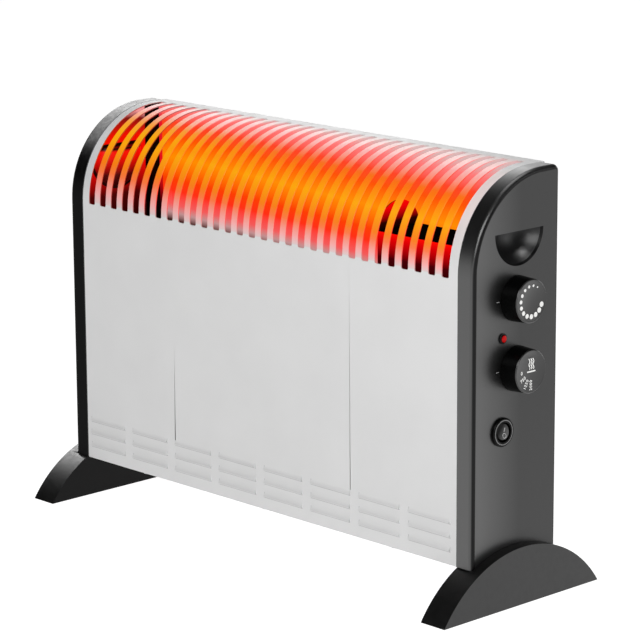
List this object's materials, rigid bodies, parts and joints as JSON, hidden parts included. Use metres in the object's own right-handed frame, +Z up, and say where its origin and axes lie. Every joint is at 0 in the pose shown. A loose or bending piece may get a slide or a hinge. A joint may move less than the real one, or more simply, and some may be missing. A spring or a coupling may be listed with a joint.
{
  "type": "convector heater",
  "caption": "Free-standing low convector heater: steel case with a curved slotted top, plastic end caps on segment feet, side dials, rocker switch and glowing coils.",
  "frame": {"origin": "on the floor, midway between the two feet and midway along them", "axes": "+X along the case from the plain end to the control end, +Y from the curved front to the flat back, +Z up"},
  "size_m": [0.5699, 0.2, 0.386],
  "materials": {
    "case_paint": "satin light grey powder coat",
    "grille_paint": "satin grey powder coat",
    "reflector": "bright rolled sheet",
    "cap_plastic": "fine grained charcoal moulding",
    "foot_plastic": "fine grained charcoal moulding",
    "cup_plastic": "gloss black moulding",
    "knob_plastic": "satin charcoal moulding",
    "switch_plastic": "gloss black moulding",
    "lamp_red": "clear red moulding",
    "control_plastic": "black moulding",
    "thermostat_case": "tan moulding",
    "block_plastic": "off-white moulding",
    "steel": "bright zinc plate",
    "shield_steel": "heat-proof black coat",
    "element_steel": "bare rolled strip",
    "ceramic": "unglazed",
    "heating_wire": "bare resistance wire, glowing",
    "bush_rubber": "matt black",
    "lead_sleeve": "matt heat-proof sleeve"
  },
  "bodies": {
    "housing": {"front_panel": "case_paint", "rear_panel": "case_paint", "bottom_grille": "grille_paint", "rear_liner": "reflector", "left_cap": "cap_plastic", "right_cap": "cap_plastic", "left_grip_cup": "cup_plastic", "right_grip_cup": "cup_plastic", "left_foot": "foot_plastic", "right_foot": "foot_plastic", "foot_screws": "steel", "rear_screws": "steel", "base_screws": "steel", "shield_screws": "steel", "plate_screws": "steel", "control_shield": "shield_steel", "left_element_plate": "element_steel", "mid_element_plate": "element_steel", "right_element_plate": "element_steel", "element_rails": "element_steel", "end_ceramics": "ceramic", "mid_ceramics": "ceramic", "small_coil": "heating_wire", "large_coil": "heating_wire", "coil_link": "steel", "thermal_cutout": "ceramic", "thermostat_body": "thermostat_case", "thermostat_nut": "steel", "selector_body": "control_plastic", "selector_nut": "steel", "switch_housing": "switch_plastic", "lamp_holder": "switch_plastic", "lamp_lens": "lamp_red", "terminal_block": "block_plastic", "cord_bush": "bush_rubber", "leads": "lead_sleeve"},
    "thermostat_dial": {"thermostat_knob": "knob_plastic", "thermostat_shaft": "steel", "thermostat_knob_clip": "steel"},
    "selector_dial": {"selector_knob": "knob_plastic", "selector_shaft": "steel", "selector_knob_clip": "steel"},
    "rocker": {"switch_rocker": "switch_plastic"}
  },
  "joints": [
    {"name": "thermostat_turn", "type": "hinge", "parent": "housing", "child": "thermostat_dial", "pos_m": [0.28, 0, 0.275], "axis": [1, 0, 0], "range_deg": [-160, 123]},
    {"name": "selector_turn", "type": "hinge", "parent": "housing", "child": "selector_dial", "pos_m": [0.28, 0, 0.2127], "axis": [1, 0, 0], "range_deg": [-90, 0]},
    {"name": "rocker_rock", "type": "hinge", "parent": "housing", "child": "rocker", "pos_m": [0.2675, -0.0175, 0.1585], "axis": [0, 1, 0], "range_deg": [0, 20]}
  ]
}
